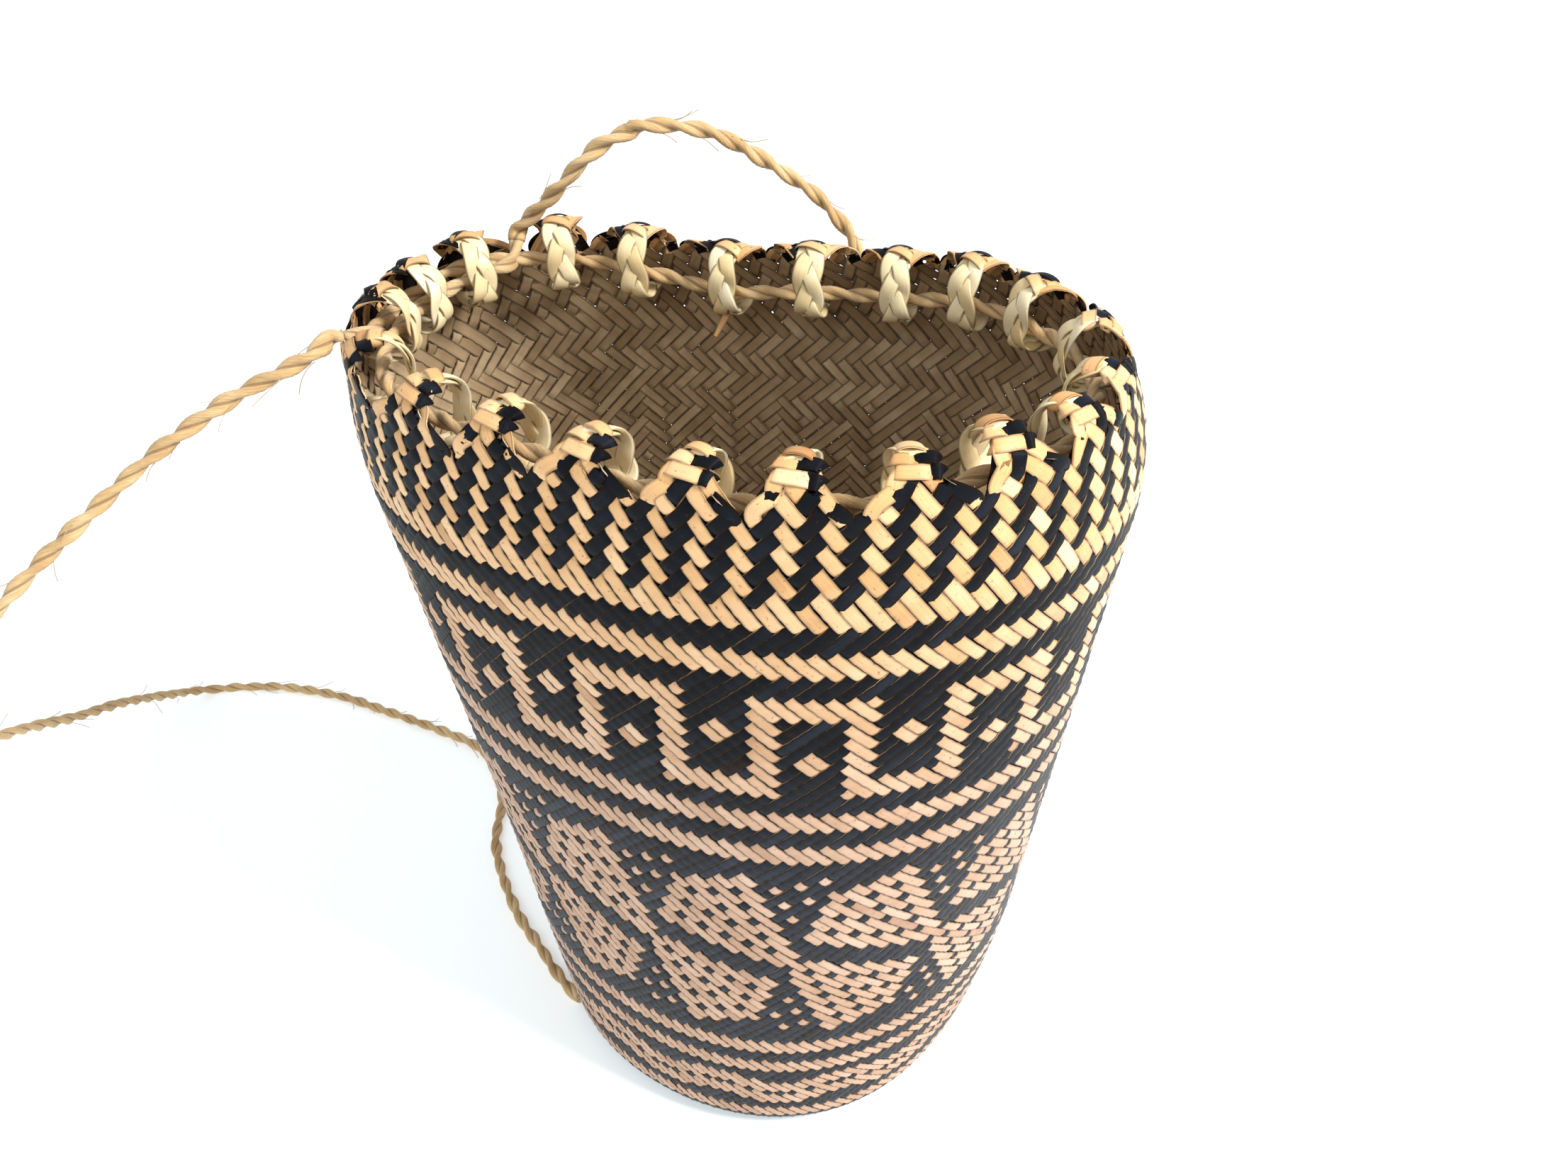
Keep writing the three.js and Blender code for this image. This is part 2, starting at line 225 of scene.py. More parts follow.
def on_body(column, run, lift):
    """Point and normal of the wall's middle surface at columns and runs, raised by a lift."""
    level = (run - LEAST_RUN) / (RIM_RUN - LEAST_RUN) * (LEVELS - 1)
    below = np.clip(np.floor(level).astype(int), 0, LEVELS - 2)
    share = (level - below)[..., None]
    point, normal = (at_level(table, below, column) * (1 - share) + at_level(table, below + 1, column) * share
                     for table in (SURFACE, SURFACE_NORMAL))
    normal = unit(normal)
    return point + normal * (lift[..., None] - WALL_THICKNESS / 2), normal


# Rows counted down the side, and the run up the side where each lies
RIM_ROW = -9.66
FOOT_ROW = 112.0
COLUMN_SHIFT = 0.28
ROW_MARKS = (RIM_ROW, -5, -0.5, 4, 10, 22, 28, 34, 39.5, 59, 68, 79, 85, 89, 97, FOOT_ROW)
RUN_MARKS = (RIM_RUN, 326.8, 306.1, 290.7, 271.4, 233.2, 215.4, 197.3, 181.1, 125.9, 102.5, 73.3, 58.8,
             49.0, 30.3, -5.0)
ROW_PITCH = (RUN_MARKS[0] - RUN_MARKS[1]) / (ROW_MARKS[1] - ROW_MARKS[0])


def run_of_row(row):
    """Run up the side at a row: straight between the marks, and on at the top pitch above the rim."""
    return np.interp(row, ROW_MARKS, RUN_MARKS) + np.maximum(RIM_ROW - row, 0) * ROW_PITCH


def lane_width(row):
    """Width of one strip's lane at a row, square to the strip, from the pitch of columns and of rows."""
    run = run_of_row(row)
    levels = np.linspace(0, LEVELS - 1, 24).astype(int)
    lengths = [section_length(level) for level in levels]
    pitch = np.interp(run, SURFACE_RUN[levels], lengths) / COLUMNS
    rise = np.maximum((run_of_row(row - 1) - run_of_row(row + 1)) / 2, 2.0)
    return pitch * rise / np.hypot(pitch / 2, rise)


# Plain bands: first row, last row, and whether the tan strips show in them
PLAIN_BANDS = ((-2, -1, 1), (0, 2, 0), (3, 5, 1), (6, 8, 0), (24, 26, 0), (27, 29, 1), (30, 32, 0),
               (33, 35, 1), (36, 38, 0), (75, 77, 0), (78, 80, 1), (81, 83, 0), (84, 86, 1), (87, 89, 0),
               (97, 99, 0), (100, 102, 1), (103, 130, 0))
REPEAT = 10


def tan_on_top(column, row):
    """Which strip shows outside at a crossing, from the row's band and the column.

    The rim zone is a twill of upright stripes. The wide band has a meander on
    black, the belly has two tiers of pointed figures with dots, and above the foot
    runs a wavy band. All three repeat every ten columns.
    """
    twice = np.round(2 * column).astype(int)
    row = np.round(row).astype(int)
    top = np.mod(twice - 1, 4) < 2
    figures = ((9, 23, meander_band(column, row)), (39, 74, pointed_tiers((twice - row) // 2, row)),
               (89, 97, wavy_band(column, row)))
    for first, last, tan in PLAIN_BANDS + figures:
        top = np.where((row >= first) & (row <= last), tan, top)
    return top > 0


def meander_band(column, row):
    """A square wave of bars one float thick with a small diamond in each bay."""
    phase = np.mod(column, REPEAT)
    upright = (np.abs(phase - 5) <= 0.6) | (np.minimum(phase, REPEAT - phase) <= 0.6)
    level = ((row <= 11) & (phase < 5)) | ((row >= 21) & (phase > 5))
    hanging = 2 * np.abs(phase - 2.5) + np.abs(row - 18) <= 2.1
    standing = 2 * np.abs(phase - 7.5) + np.abs(row - 14) <= 2.1
    return upright | level | hanging | standing


def pointed_tiers(tan_strip, row):
    """Two tiers of tan figures on black, each tier the other turned half round.

    A place in a figure is its strip's number from the middle strip and its step
    down that strip. The upper figure starts half a step lower with each strip
    away from the middle and ends two steps higher, and every fifth step is a black
    dot. Three, two and one tan dots stand on the black between the figures.
    """
    top = np.zeros(np.broadcast(tan_strip, row).shape, bool)
    for repeat in (-1, 0, 1):
        across = np.mod(tan_strip - 63, REPEAT) + REPEAT * repeat
        down = across + row - 44
        for turned in (False, True):
            u = -across if turned else across
            v = 25 - down if turned else down
            side = np.abs(u)
            tip = 14 - 2 * side
            body = (side <= 6) & (v >= np.ceil(side / 2) - 2) & (v <= tip - (turned & (side == 1)))
            body = body & (np.mod(tip - v, 5) != 4)
            first = 2 * (u - 7) + (v - 4)
            second = 2 * (v - 4) - (u - 7)
            dot = (np.mod(first, 5) == 0) & (first >= 0) & (second >= 0) & (first + second <= 10)
            top = top | body | dot
    return top


def wavy_band(column, row):
    """Tan for three rows above and below a middle row of black dots that steps up and down."""
    middle = np.round(93.0 + 1.3 * (2 * np.abs(np.mod(column, REPEAT) / 5.0 - 1.0) - 1.0))
    return (np.abs(row - middle) <= 3) & (row != middle)


def path_directions(centre, normal):
    """The way across a path, and its normal made square to it."""
    tangent = unit(np.gradient(centre, axis=-2))
    across = unit(np.cross(normal, tangent))
    return across, unit(np.cross(tangent, across))


def ribbon_rings(centre, normal, half_width, crown):
    """Six-point sections along paths: a crowned outer face and a flat inner one.

    The width runs along the normal crossed with the path's own direction.
    """
    across, normal = path_directions(centre, normal)
    half_width = np.broadcast_to(half_width, centre.shape[:-1])
    half = STRIP_THICKNESS / 2
    high, low = half - crown, -half - crown
    places = ((1, high), (0, half), (-1, high), (-1, low), (0, -half), (1, low))
    rings = [centre + across * (side * half_width)[..., None] + normal * lift for side, lift in places]
    return np.stack(rings, -2)


def round_rings(centre, normal, half_width, half_height, sides):
    """Sections that are ellipses: half_width across and half_height along the normal."""
    across, normal = path_directions(centre, normal)
    angle = 2 * math.pi * np.arange(sides) / sides
    return (centre[..., None, :] + across[..., None, :] * (half_width * np.cos(angle))[:, None]
            + normal[..., None, :] * (half_height * np.sin(angle))[:, None])


def make_mesh(name, rings, length, tone, keep=None, leaf=True, coloured_steps=0):
    """Closed tubes from rings of points, cut where keep is false.

    rings is tubes by steps by sides by three, in millimetres. UV holds the length
    along the tube and the share around it, and tone is one number for each ring.
    A leaf strip has sharp edges and two materials: the outer one on its crowned face,
    and for the first so many steps on all its faces, and the inner one on the rest.
    """
    tubes, steps, sides, _ = rings.shape
    if keep is None:
        keep = np.ones((tubes, steps), bool)
    index = np.arange(tubes * steps * sides).reshape(tubes, steps, sides)
    both = keep[:, :-1] & keep[:, 1:]
    t, s = np.nonzero(both)
    k = np.arange(sides)
    beside = (k + 1) % sides
    here = index[t, s]
    ahead = index[t, s + 1]
    quads = np.stack([here, here[:, beside], ahead[:, beside], ahead], -1).reshape(-1, 4)
    outer = (np.tile(k, len(t)) < 2) | (np.repeat(s, sides) < coloured_steps)
    none = np.zeros((tubes, 1), bool)
    before = np.concatenate([none, both], 1)
    after = np.concatenate([both, none], 1)
    half = np.arange(sides // 2 - 1)
    cap = np.stack([half, half + 1, sides - 2 - half, sides - 1 - half], -1)
    end_quads = index[before & ~after][:, cap].reshape(-1, 4)
    start_quads = index[after & ~before][:, cap[:, ::-1]].reshape(-1, 4)
    quads = np.concatenate([quads, end_quads, start_quads])
    outer = np.concatenate([outer, np.zeros(len(end_quads) + len(start_quads), bool)])
    used, corner = np.unique(quads, return_inverse=True)
    quads = corner.reshape(-1, 4)
    mesh = bpy.data.meshes.new(name)
    mesh.vertices.add(len(used))
    mesh.vertices.foreach_set("co", (rings.reshape(-1, 3)[used] * MM).astype(np.float32).ravel())
    mesh.loops.add(quads.size)
    mesh.loops.foreach_set("vertex_index", quads.astype(np.int32).ravel())
    mesh.polygons.add(len(quads))
    mesh.polygons.foreach_set("loop_start", np.arange(0, quads.size, 4, dtype=np.int32))
    mesh.update(calc_edges=True)
    if leaf:
        mesh.polygons.foreach_set("material_index", (~outer).astype(np.int32))
    mesh.polygons.foreach_set("use_smooth", np.ones(len(quads), bool))
    u = np.repeat(length.reshape(-1), sides)[used]
    v = np.tile(np.minimum(k, sides - k) * 2.0 / sides, tubes * steps)[used]
    layer = mesh.uv_layers.new(name="strip")
    layer.data.foreach_set("uv", np.stack([u, v], -1)[quads.ravel()].astype(np.float32).ravel())
    values = np.repeat(np.broadcast_to(tone, (tubes, steps)).reshape(-1), sides)[used]
    mesh.attributes.new("tone", "FLOAT", "POINT").data.foreach_set("value", values.astype(np.float32))
    if leaf:
        mesh.set_sharp_from_angle(angle=math.radians(50))
    mesh.update()
    return add_object(name, mesh)


def join_tubes(name, tubes, leaf=True):
    """One mesh of whole tubes of as many steps each, given as rings, lengths and tones."""
    rings, lengths, tones = (np.stack(values) for values in zip(*tubes))
    return make_mesh(name, rings, lengths, tones[:, None], leaf=leaf, coloured_steps=rings.shape[1])


def random_tone(middle, spread, shape=None, least=0.05):
    """Tones drawn round a middle one and kept off the ends of the scale."""
    return np.clip(RANDOM.normal(middle, spread, shape), least, 0.95)


def finish_piece(piece, materials, nodes):
    """Puts materials on a piece, hangs it under the root body, and hides the CAD nodes it stands for."""
    for material in materials:
        piece.data.materials.append(material)
    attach(piece, "root")
    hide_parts(*nodes)


# Colours and materials
def linear(hexadecimal):
    """sRGB hex to linear red, green, blue and full opacity."""
    parts = [int(hexadecimal[i:i + 2], 16) / 255 for i in (0, 2, 4)]
    return [p / 12.92 if p <= 0.04045 else ((p + 0.055) / 1.055) ** 2.4 for p in parts] + [1.0]


def add_node(tree, kind, inputs=None, **settings):
    """Adds a shader node, sets its own settings, and sets or links its inputs."""
    node = tree.nodes.new("ShaderNode" + kind)
    for key, value in settings.items():
        setattr(node, key, value)
    for key, value in (inputs or {}).items():
        if isinstance(value, bpy.types.NodeSocket):
            tree.links.new(value, node.inputs[key])
        else:
            node.inputs[key].default_value = value
    return node


def colour_ramp(tree, factor, stops):
    """A ramp through hex colours at given places."""
    node = add_node(tree, "ValToRGB", {"Fac": factor})
    ramp = node.color_ramp
    while len(ramp.elements) < len(stops):
        ramp.elements.new(0.5)
    for element, (position, colour) in zip(ramp.elements, stops):
        element.position = position
        element.color = linear(colour)
    return node.outputs["Color"]


def maths(tree, operation, *values, clamp=False):
    """Output of a Math node."""
    return add_node(tree, "Math", dict(enumerate(values)), operation=operation, use_clamp=clamp).outputs[0]


def noise(tree, vector, scale, detail, roughness=0.5):
    """Output of a noise texture."""
    inputs = {"Vector": vector, "Scale": scale, "Detail": detail, "Roughness": roughness}
    return add_node(tree, "TexNoise", inputs).outputs["Fac"]


def stretched(tree, vector, sizes):
    """A vector with each of its parts multiplied."""
    return add_node(tree, "VectorMath", {0: vector, 1: sizes}, operation="MULTIPLY").outputs[0]


def map_range(tree, value, low, high, to_low=0.0, to_high=1.0, curve="LINEAR"):
    """Output of a Map Range node."""
    inputs = {"Value": value, "From Min": low, "From Max": high, "To Min": to_low, "To Max": to_high}
    return add_node(tree, "MapRange", inputs, interpolation_type=curve).outputs[0]


def mix_colours(tree, factor, first, second):
    """The first colour, gone over to the second by a factor."""
    return add_node(tree, "Mix", {0: factor, 6: first, 7: second}, data_type="RGBA").outputs[2]


def new_material(name):
    """A material with its node tree emptied, and the UV of the strips."""
    material = bpy.data.materials.new(name)
    material.use_nodes = True
    tree = material.node_tree
    tree.nodes.clear()
    return material, tree, add_node(tree, "UVMap", uv_map="strip").outputs["UV"]


def finish_material(tree, colour, roughness, bump, more):
    """Bump, shader and output: the bump is a height, its strength and its distance in metres."""
    relief = add_node(tree, "Bump", dict(zip(("Height", "Strength", "Distance"), bump)))
    inputs = {"Base Color": colour, "Roughness": roughness, "Normal": relief.outputs[0]}
    shader = add_node(tree, "BsdfPrincipled", dict(inputs, **more))
    add_node(tree, "OutputMaterial", {"Surface": shader.outputs[0]})


def strip_material(name, stops, spot_colour, spot_amount, roughness, bump, gloss, edge_shade, rim=None):
    """Leaf strip: colour by strip and by length, streaks along the fibre, small spots and painted shade at
    the edges.

    The edge shade says where a face's middle is around the section, how far off its border
    is, the share of that where the painted shade begins, and how dark it gets. Where a rim
    is given, colour and gloss go over to its own between two heights in metres.
    """
    material, tree, uv = new_material(name)
    tone = add_node(tree, "Attribute", attribute_name="tone").outputs["Fac"]
    parts = add_node(tree, "SeparateXYZ", {"Vector": uv})
    along, around = parts.outputs["X"], parts.outputs["Y"]
    shift = maths(tree, "MULTIPLY", tone, 37.0)
    slow = add_node(tree, "CombineXYZ", {"X": along, "Y": shift}).outputs[0]
    fibre = add_node(tree, "CombineXYZ", {"X": along, "Y": around, "Z": shift}).outputs[0]
    patch = noise(tree, slow, 70.0, 2.0)
    streak = noise(tree, stretched(tree, fibre, (90.0, 16.0, 1.0)), 1.0, 4.0, 0.65)
    by_strip = maths(tree, "ADD", maths(tree, "MULTIPLY_ADD", patch, 0.9, -0.45), tone)
    by_streak = maths(tree, "MULTIPLY_ADD", streak, 0.5, -0.25)
    factor = maths(tree, "ADD", by_strip, by_streak, clamp=True)
    colour = colour_ramp(tree, factor, stops)
    position = add_node(tree, "TexCoord").outputs["Object"]
    if rim:
        rim_stops, rim_from, rim_to, rim_gloss = rim
        height = add_node(tree, "SeparateXYZ", {"Vector": position}).outputs["Z"]
        near_rim = map_range(tree, height, rim_from, rim_to)
        colour = mix_colours(tree, near_rim, colour, colour_ramp(tree, factor, rim_stops))
        gloss = map_range(tree, near_rim, 0.0, 1.0, gloss, rim_gloss)
    spot = map_range(tree, noise(tree, position, 900.0, 2.0), 0.66, 0.72, 0.0, spot_amount)
    spotted = mix_colours(tree, spot, colour, linear(spot_colour))
    middle, half, begin, shade = edge_shade
    distance = maths(tree, "ABSOLUTE", maths(tree, "SUBTRACT", around, middle))
    border = map_range(tree, distance, begin * half, half, 0.0, shade, "SMOOTHSTEP")
    # Painted shade: the colour darkens to dark brown towards a face's borders, standing in for the shadow
    # between neighbouring strips
    edge_shaded = mix_colours(tree, border, spotted, linear("1A120C"))
    finish_material(tree, edge_shaded, roughness, (streak, bump, 0.0003), {"Specular IOR Level": gloss})
    return material


# Undyed pandanus leaf, scraped and sun dried: satin, pinkish tan low down and golden at the rim
TAN_LEAF = strip_material(
    "undyed_leaf_outside", [(0.0, "997054"), (0.3, "B1896B"), (0.6, "C09A7E"), (1.0, "CEAE97")],
    "7A4A28", 0.7, 0.45, 0.4, 0.4, (1 / 3, 1 / 3, 0.62, 0.55),
    ([(0.0, "AA7646"), (0.3, "CF9C62"), (0.6, "DFB17C"), (1.0, "ECC898")], 0.2, 0.32, 0.4))
# The same leaf dyed black in mud: satin black at the rim, lighter and blue-grey lower down as a painted
# sheen, brown where the dye is thin
BLACK_LEAF = strip_material(
    "mud_dyed_leaf", [(0.0, "2C2018"), (0.14, "1B1D23"), (0.6, "272B34"), (1.0, "383D48")],
    "3A2C20", 0.5, 0.36, 0.5, 0.1, (1 / 3, 1 / 3, 0.4, 0.95),
    ([(0.0, "2A1C12"), (0.16, "0E0F12"), (0.6, "14161B"), (1.0, "22262F")], 0.15, 0.25, 0.035))
# The leaf's inner side: matt, grey beige
INNER_LEAF = strip_material(
    "leaf_inside", [(0.0, "826A4C"), (0.4, "A48A69"), (0.7, "BEA582"), (1.0, "D8C29E")],
    "6E553C", 0.4, 0.55, 0.3, 0.3, (2 / 3, 1 / 3, 0.62, 0.75))
# Peeled core strips of the braids: smooth, pale straw, slightly glossy
BRAID_STRAW = strip_material(
    "peeled_braid_straw", [(0.0, "D2B27A"), (0.4, "E2CA98"), (0.7, "EEDCB2"), (1.0, "F6E9CA")],
    "B08A55", 0.35, 0.4, 0.25, 0.4, (0.5, 0.5, 0.62, 0.6))


def leaf_sides(tan):
    """A leaf strip's outer and inner material."""
    return [TAN_LEAF if tan else BLACK_LEAF, INNER_LEAF]


def cord_material():
    """Two-ply bark-fibre cord: matt, golden brown, with fine fibres that follow the twist and painted shade
    along the groove between the plies.
    """
    material, tree, uv = new_material("twisted_bark_fibre")
    fibre = noise(tree, stretched(tree, uv, (160.0, 22.0, 1.0)), 1.0, 5.0, 0.7)
    position = add_node(tree, "TexCoord").outputs["Object"]
    patch = maths(tree, "MULTIPLY_ADD", noise(tree, position, 45.0, 2.0), 0.5, -0.25)
    factor = maths(tree, "ADD", fibre, patch, clamp=True)
    colour = colour_ramp(tree, factor, [(0.2, "A0784A"), (0.45, "C49E68"), (0.6, "DAB883"), (0.85, "F0DAB4")])
    around = add_node(tree, "SeparateXYZ", {"Vector": uv}).outputs["Y"]
    # Painted shade: a dark line along the groove between the two plies
    groove_shade = maths(tree, "MULTIPLY", maths(tree, "COMPARE", around, 0.5, 0.1), 0.6)
    colour = mix_colours(tree, groove_shade, colour, linear("6E4C28"))
    finish_material(tree, colour, 0.8, (fibre, 0.8, 0.0005), {"Sheen Weight": 0.25, "Sheen Roughness": 0.5})
    return material


CORD_FIBRE = cord_material()


# Cords: shares of the cord's radius, and the twist, the steps and the easing in millimetres
PLY_RADIUS = 0.56
PLY_MIDDLE = 0.44
GROOVE_DEPTH = 0.5
TWIST_LENGTH = 27.0
CORD_STEP = 1.6
MOST_EASED = 1.9
CORD_SIDES = 18


def smooth_route(points):
    """Centripetal Catmull-Rom curve through points, read at equal steps along it.

    Each point of it blends four neighbours in three rounds, each between two knots.
    """
    points = np.asarray(points, float)
    ends = [2 * points[0] - points[1], 2 * points[-1] - points[-2]]
    points = np.concatenate([[ends[0]], points, [ends[1]]])
    knots = np.concatenate([[0], np.cumsum(np.linalg.norm(np.diff(points, axis=0), axis=1) ** 0.5)])
    pieces = []
    for k in range(1, len(points) - 2):
        t = np.linspace(knots[k], knots[k + 1], 24, endpoint=False)[:, None]
        near = knots[k - 1:k + 3]
        blend = points[k - 1:k + 3]
        for spans in (((0, 1), (1, 2), (2, 3)), ((0, 2), (1, 3)), ((1, 2),)):
            blend = [((near[j] - t) * blend[n] + (t - near[i]) * blend[n + 1]) / (near[j] - near[i])
                     for n, (i, j) in enumerate(spans)]
        pieces.append(blend[0])
    curve = np.concatenate(pieces + [points[-2:-1]])
    return even_steps(curve, int(round(length_along(curve)[-1] / CORD_STEP)) + 1)


def steady_directions(route):
    """A normal carried along a route with no twist of its own, and the way across."""
    tangent = unit(np.gradient(route, axis=0))
    normal = np.empty_like(route)
    current = np.array([1.0, 0.0, 0.0]) if abs(tangent[0][2]) > 0.9 else UP
    for k, t in enumerate(tangent):
        current = unit(current - t * np.dot(current, t))
        normal[k] = current
    return normal, np.cross(normal, tangent)


def eased(route, reach):
    """The route with its first steps drawn a little to the mean of their neighbours."""
    out = route.copy()
    for k in range(3, reach):
        span = min(k - 1, 9)
        move = route[k - span:k + span + 1].mean(axis=0) - route[k]
        size = np.linalg.norm(move)
        out[k] = route[k] + move * min(1.0, MOST_EASED / max(size, 1e-9))
    return out


def twisted_cord(name, points, eased_steps, loose, loose_fall):
    """Two plies laid round each other: a section of two joined circles that turns along the route.

    The groove between them is filled to its depth. Where a cord is loose, it is thicker.
    """
    route, at = smooth_route(points)
    route = eased(route, eased_steps)
    normal, across = steady_directions(route)
    angle = 2 * math.pi * np.arange(CORD_SIDES) / CORD_SIDES
    lobe = PLY_MIDDLE * np.abs(np.cos(angle)) + np.sqrt(PLY_RADIUS ** 2 - (PLY_MIDDLE * np.sin(angle)) ** 2)
    profile = CORD_DIAMETER / 2 * np.maximum(lobe, GROOVE_DEPTH)
    wobble = 1 + 0.05 * np.sin(at / 9.0 + 1.0) + 0.04 * np.sin(at / 3.7)
    size = wobble * (1 + 0.12 * np.clip(loose - at / at[-1] * loose_fall, 0, 1))
    turned = angle + 2 * math.pi * at[:, None] / TWIST_LENGTH
    radius = (profile * size[:, None])[..., None]
    rings = across[:, None] * np.cos(turned)[..., None] + normal[:, None] * np.sin(turned)[..., None]
    rings = route[:, None] + radius * rings
    return make_mesh(name, rings[None], (at * MM)[None], 0.5, leaf=False), route, at


def rim_frame(column):
    """Point of the rim's outer edge at columns, the way along it and the level way in."""
    before, here, after = (at_level(SURFACE, -1, column + step) for step in (-0.05, 0, 0.05))
    along = unit(after - before)
    return here, along, np.cross(UP, along)


def rim_point(column, inward_by, height):
    """A point so far inward and so far above the rim's valleys."""
    point, _, inward = rim_frame(column)
    return point + inward * inward_by + UP * height


TOOTH_STARTS = FIRST_TOOTH_COLUMN + np.concatenate([[0], np.cumsum(TOOTH_COLUMNS)[:-1]])
TOOTH_MIDDLES = TOOTH_STARTS + TOOTH_COLUMNS / 2
EYELET_MIDDLES = TOOTH_MIDDLES + TOOTH_LEANS
TOOTH_COUNT = len(TOOTH_COLUMNS)
FIRST_EYELET = 13
DOUBLED_EYELETS = 3


def in_eyelet(index, inward_by, height):
    """The cord's point in an eyelet, moved from its usual place in it."""
    level = CORD_FOLLOW * TOOTH_RISES[index] - CORD_HANG + height
    return rim_point(EYELET_MIDDLES[index], CORD_REACH + inward_by, level)


def rim_route():
    """The rim cord's points: in at the back, through all eyelets and the first three again, and out."""
    back_valley = TOOTH_STARTS[FIRST_EYELET]
    left_valley = TOOTH_STARTS[FIRST_EYELET + DOUBLED_EYELETS]
    route = [rim_point(back_valley + 0.8, 9, 9), rim_point(back_valley + 1.5, 13, 3)]
    for k in range(TOOTH_COUNT):
        doubled = k < DOUBLED_EYELETS
        route.append(in_eyelet((FIRST_EYELET + k) % TOOTH_COUNT, 2.5 * doubled, 0.5 * doubled))
    for k in range(DOUBLED_EYELETS):
        route.append(in_eyelet(FIRST_EYELET + k, -3.4, 3))
    route.append(rim_point(left_valley - 0.3, 8, 5))
    route.append(rim_point(left_valley + 0.1, 1, 6))
    return route


def straight_on(before, end):
    """First two points of a cord that goes straight on past the end of another."""
    direction = unit(end - before)
    start = end + direction * SEAM
    return [start, start + direction * CORD_DIAMETER]


def place(x, y, level):
    """A point in foot radii across and body heights up."""
    return np.array([x * FOOT_RADIUS, y * FOOT_RADIUS, level * BODY_HEIGHT])


def on_floor(x, y):
    """A point where the cord lies on the floor, in foot radii."""
    return np.array([x * FOOT_RADIUS, y * FOOT_RADIUS, CORD_DIAMETER / 2 + SEAM])


RIM_ROUTE = rim_route()
LEFT_STRAP = straight_on(RIM_ROUTE[-2], RIM_ROUTE[-1])
LEFT_STRAP += [place(*p) for p in (
    (-1.44, 0.01, 1.012), (-1.65, -0.04, 0.993), (-1.86, -0.11, 0.964), (-2.04, -0.19, 0.934),
    (-2.22, -0.28, 0.898), (-2.38, -0.36, 0.865), (-2.54, -0.45, 0.828), (-3.05, -0.49, 0.700),
    (-3.45, -0.29, 0.550), (-3.66, 0.10, 0.441), (-3.72, 0.62, 0.366), (-3.74, 1.18, 0.248),
    (-3.73, 1.53, 0.180), (-3.72, 1.90, 0.096))]
LEFT_STRAP += [on_floor(*p) for p in (
    (-3.64, 2.27), (-3.24, 2.26), (-2.77, 2.12), (-2.48, 1.97), (-2.06, 1.74), (-1.84, 1.60), (-1.68, 1.39),
    (-1.61, 1.13), (-1.60, 0.84), (-1.55, 0.65), (-1.47, 0.45), (-1.39, 0.29), (-1.27, 0.11), (-1.16, -0.06),
    (-1.04, -0.21))]
BACK_STRAP = straight_on(RIM_ROUTE[1], RIM_ROUTE[0])
BACK_STRAP += [place(*p) for p in (
    (-0.69, 0.77, 1.081), (-0.59, 0.75, 1.114), (-0.45, 0.75, 1.144), (-0.35, 0.76, 1.151),
    (-0.24, 0.78, 1.148), (-0.09, 0.82, 1.134), (0.06, 0.86, 1.104), (0.19, 0.88, 1.074), (0.28, 0.88, 1.053),
    (0.35, 0.87, 1.029), (0.42, 0.86, 0.999), (0.48, 0.85, 0.912), (0.50, 0.85, 0.735), (0.51, 0.86, 0.471),
    (0.49, 0.91, 0.235), (0.45, 1.01, 0.088))]
BACK_STRAP += [on_floor(*p) for p in (
    (0.37, 1.33), (0.21, 1.70), (-0.08, 1.93), (-0.41, 1.85), (-0.55, 1.56), (-0.39, 1.27), (-0.10, 1.05),
    (0.12, 0.94))]

# Each cord: its points, how many steps are eased, how loose it starts, and how fast that falls
ROUTES = {}
for node, cord_points, cord_eased, loose, loose_fall in (
        ("rim_cord", RIM_ROUTE, 0, 0, 0), ("strap_left", LEFT_STRAP, 45, 1, 12),
        ("strap_back", BACK_STRAP, 45, 1.2, 7)):
    ROUTES[node] = twisted_cord(node + "_twisted", cord_points, cord_eased, loose, loose_fall)
    finish_piece(ROUTES[node][0], [CORD_FIBRE], [node])


FIBRE_COUNT = 140
FIBRE_RADIUS = 0.15


def stray_fibres(name, routes):
    """Fine hairs that start in the straps and bend away."""
    share = np.linspace(0, 1, 9)[:, None]
    tubes = []
    for k in range(FIBRE_COUNT):
        route = routes[k % len(routes)]
        start = int(RANDOM.integers(2, int(len(route) * 0.8)))
        along = unit(route[start + 1] - route[start - 1])
        aside = unit(np.cross(along, RANDOM.normal(0, 1, 3)))
        other = np.cross(along, aside)
        size = RANDOM.uniform(6, 15)
        bend = RANDOM.uniform(-0.5, 0.5)
        path = route[start] + aside * 2.2 + size * (along * share + aside * 0.45 * share ** 2)
        path = path + size * bend * other * share ** 3
        path[:, 2] = np.maximum(path[:, 2], 0.4)
        rings = round_rings(path, unit(other + 0 * path), FIBRE_RADIUS, FIBRE_RADIUS, 4)
        tubes.append((rings, share[:, 0] * size * MM, 0.5))
    finish_piece(join_tubes(name, tubes, leaf=False), [CORD_FIBRE], ["strap_left", "strap_back"])


stray_fibres("strap_fibres", [ROUTES["strap_left"][1], ROUTES["strap_back"][1]])


# The teeth's surface
def start_turn(rise):
    """The angle at which a tooth leaves the rim: upright, or leaning in where its rise is negative."""
    return np.arcsin(np.maximum(-rise, 0) / TOOTH_BEND)


def curl_at(climb, rise):
    """Inward distance, height and angle of a curl: straight up by its rise, then round the bend."""
    first = start_turn(rise)
    beyond = climb - np.maximum(rise, 0)
    turn = first + np.maximum(beyond, 0) / TOOTH_BEND
    height = rise + np.minimum(beyond, 0) + TOOTH_BEND * np.sin(turn)
    return TOOTH_BEND * (np.cos(first) - np.cos(turn)), height, turn


